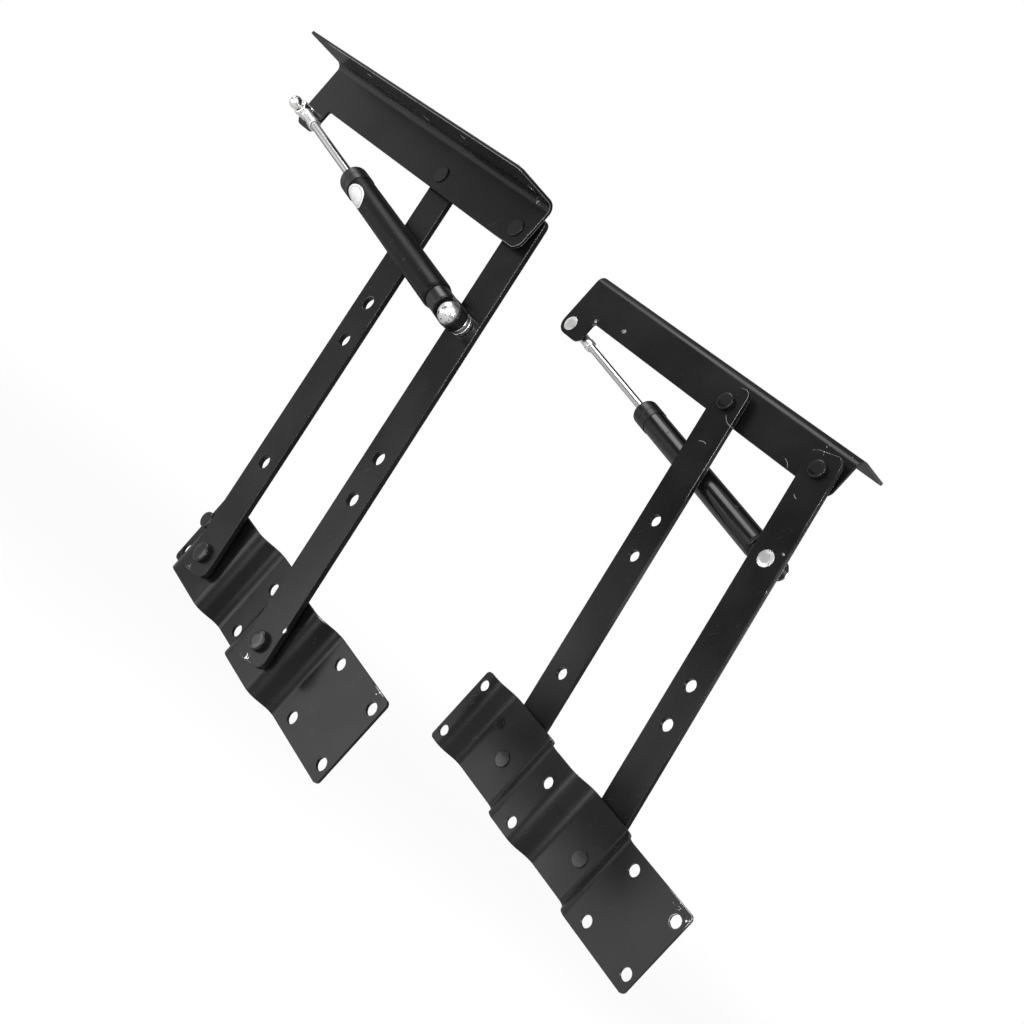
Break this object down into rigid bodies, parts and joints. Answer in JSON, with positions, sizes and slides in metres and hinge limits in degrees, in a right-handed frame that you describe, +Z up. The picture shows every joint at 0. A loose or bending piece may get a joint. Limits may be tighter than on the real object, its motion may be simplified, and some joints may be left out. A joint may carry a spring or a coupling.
{
  "type": "lift top table mechanism",
  "caption": "Pair of lift-top table fittings, left and right hand: bent base plate, parallel arms, top rail with flange and a gas spring.",
  "frame": {"origin": "centre of the four wall holes in the right hand's front pad, on the pad's wall face", "axes": "+Z up as fitted on a vertical wall; +X from the rear pads to the front pads, away from where the top moves when it is lifted; +Y from the right hand's wall into the table"},
  "size_m": [0.574, 0.29, 0.3469],
  "materials": {
    "black_paint": "glossy black powder paint with small chips at edges",
    "black_bolt": "glossy black paint over round heads and spacers",
    "gloss_black": "smooth gloss black enamel",
    "socket_plastic": "black moulded, slightly glossy",
    "cap_plastic": "black moulded, satin",
    "zinc_steel": "bright zinc plate, scuffed",
    "rod_chrome": "mirror chrome",
    "guide_brass": "turned",
    "seal_rubber": "matt",
    "piston_steel": "turned",
    "blank_label": "blank silver-white film"
  },
  "bodies": {
    "base_plates": {"right_base_plate": "black_paint", "right_stop_bolt": "black_bolt", "right_rear_base_bolt": "black_bolt", "right_front_base_bolt": "black_bolt", "right_base_spacers": "black_bolt", "left_base_plate": "black_paint", "left_stop_bolt": "black_bolt", "left_rear_base_bolt": "black_bolt", "left_front_base_bolt": "black_bolt", "left_base_spacers": "black_bolt"},
    "right_rear_link": {"right_rear_arm": "black_paint"},
    "right_front_link": {"right_front_arm": "black_paint", "right_lower_stud": "zinc_steel"},
    "right_top_rail": {"right_top_bracket": "black_paint", "right_rear_top_bolt": "black_bolt", "right_front_top_bolt": "black_bolt", "right_top_spacers": "black_bolt", "right_lug_stud": "zinc_steel"},
    "right_gas_cylinder": {"right_lower_socket": "socket_plastic", "right_gas_tube": "gloss_black", "right_tube_cap": "cap_plastic", "right_rod_guide": "guide_brass", "right_rod_seal": "seal_rubber", "right_tube_label": "blank_label"},
    "right_gas_piston": {"right_gas_rod": "rod_chrome", "right_piston": "piston_steel", "right_piston_ring": "seal_rubber", "right_rod_ferrule": "zinc_steel", "right_rod_eye": "zinc_steel", "right_ball_pin": "zinc_steel"},
    "left_rear_link": {"left_rear_arm": "black_paint"},
    "left_front_link": {"left_front_arm": "black_paint", "left_lower_stud": "zinc_steel"},
    "left_top_rail": {"left_top_bracket": "black_paint", "left_rear_top_bolt": "black_bolt", "left_front_top_bolt": "black_bolt", "left_top_spacers": "black_bolt", "left_lug_stud": "zinc_steel"},
    "left_gas_cylinder": {"left_lower_socket": "socket_plastic", "left_gas_tube": "gloss_black", "left_tube_cap": "cap_plastic", "left_rod_guide": "guide_brass", "left_rod_seal": "seal_rubber", "left_tube_label": "blank_label"},
    "left_gas_piston": {"left_gas_rod": "rod_chrome", "left_piston": "piston_steel", "left_piston_ring": "seal_rubber", "left_rod_ferrule": "zinc_steel", "left_rod_eye": "zinc_steel", "left_ball_pin": "zinc_steel"}
  },
  "joints": [
    {"name": "right_lift", "type": "hinge", "parent": "base_plates", "child": "right_front_link", "pos_m": [-0.0607, 0.0205, -0.004], "axis": [0, 1, 0], "range_deg": [0, 86], "stiffness_Nm_per_rad": 1, "springref_deg": -143.24},
    {"name": "right_rear_arm_swing", "type": "hinge", "parent": "base_plates", "child": "right_rear_link", "pos_m": [-0.1557, 0.0205, -0.004], "axis": [0, 1, 0], "range_deg": [0, 86]},
    {"name": "right_top_level", "type": "hinge", "parent": "right_front_link", "child": "right_top_rail", "pos_m": [-0.12965, 0.0205, 0.27253], "axis": [0, 1, 0], "range_deg": [-86, 0]},
    {"name": "right_gas_swing", "type": "hinge", "parent": "right_front_link", "child": "right_gas_cylinder", "pos_m": [-0.11363, 0.0345, 0.2083], "axis": [0, 1, 0], "range_deg": [-94.6, 0]},
    {"name": "right_gas_stroke", "type": "slide", "parent": "right_gas_cylinder", "child": "right_gas_piston", "axis": [-0.9895, 0, 0.1443], "range_m": [-0.0821, 0]},
    {"name": "left_lift", "type": "hinge", "parent": "base_plates", "child": "left_front_link", "pos_m": [-0.1907, -0.1805, -0.024], "axis": [0, 1, 0], "range_deg": [0, 86], "stiffness_Nm_per_rad": 1, "springref_deg": -143.24},
    {"name": "left_rear_arm_swing", "type": "hinge", "parent": "base_plates", "child": "left_rear_link", "pos_m": [-0.2857, -0.1805, -0.024], "axis": [0, 1, 0], "range_deg": [0, 86]},
    {"name": "left_top_level", "type": "hinge", "parent": "left_front_link", "child": "left_top_rail", "pos_m": [-0.25965, -0.1805, 0.25253], "axis": [0, 1, 0], "range_deg": [-86, 0]},
    {"name": "left_gas_swing", "type": "hinge", "parent": "left_front_link", "child": "left_gas_cylinder", "pos_m": [-0.24363, -0.1945, 0.1883], "axis": [0, 1, 0], "range_deg": [-94.6, 0]},
    {"name": "left_gas_stroke", "type": "slide", "parent": "left_gas_cylinder", "child": "left_gas_piston", "axis": [-0.9895, 0, 0.1443], "range_m": [-0.0821, 0]}
  ],
  "couplings": [
    {"joint": "right_rear_arm_swing", "follows": "right_lift", "ratio": 1},
    {"joint": "right_top_level", "follows": "right_lift", "ratio": -1},
    {"joint": "right_gas_swing", "follows": "right_lift", "ratio": -1.0997},
    {"joint": "right_gas_stroke", "follows": "right_lift", "m_per_rad": -0.054679},
    {"joint": "left_rear_arm_swing", "follows": "left_lift", "ratio": 1},
    {"joint": "left_top_level", "follows": "left_lift", "ratio": -1},
    {"joint": "left_gas_swing", "follows": "left_lift", "ratio": -1.0997},
    {"joint": "left_gas_stroke", "follows": "left_lift", "m_per_rad": -0.054679}
  ]
}
